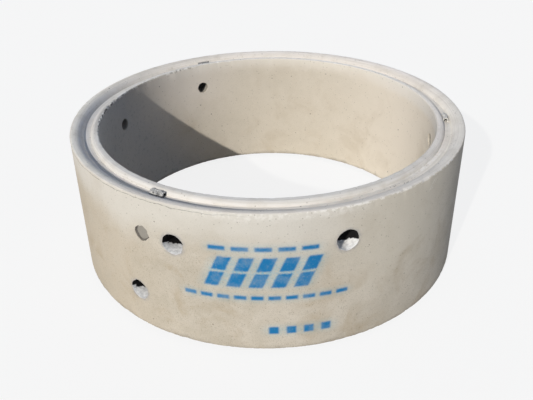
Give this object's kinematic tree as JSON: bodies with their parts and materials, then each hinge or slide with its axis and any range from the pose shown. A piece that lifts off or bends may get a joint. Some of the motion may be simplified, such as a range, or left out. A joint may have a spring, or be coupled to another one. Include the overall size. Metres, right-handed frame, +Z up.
{
  "type": "concrete chamber ring",
  "caption": "Precast concrete chamber ring with a grooved rim and rounded shoulder, a mating tongue underneath, blind lifting holes and round holes through the wall.",
  "frame": {"origin": "middle of the ring on the ground, at the tip of the tongue", "axes": "+Z up along the bore's axis, -Y towards the viewer of the picture, +X to the viewer's right"},
  "size_m": [1.3898, 1.39, 0.5],
  "materials": {
    "concrete": "matte, cast, with fine speckle and small air holes"
  },
  "bodies": {
    "root": {"chamber_ring": "concrete"}
  },
  "joints": []
}
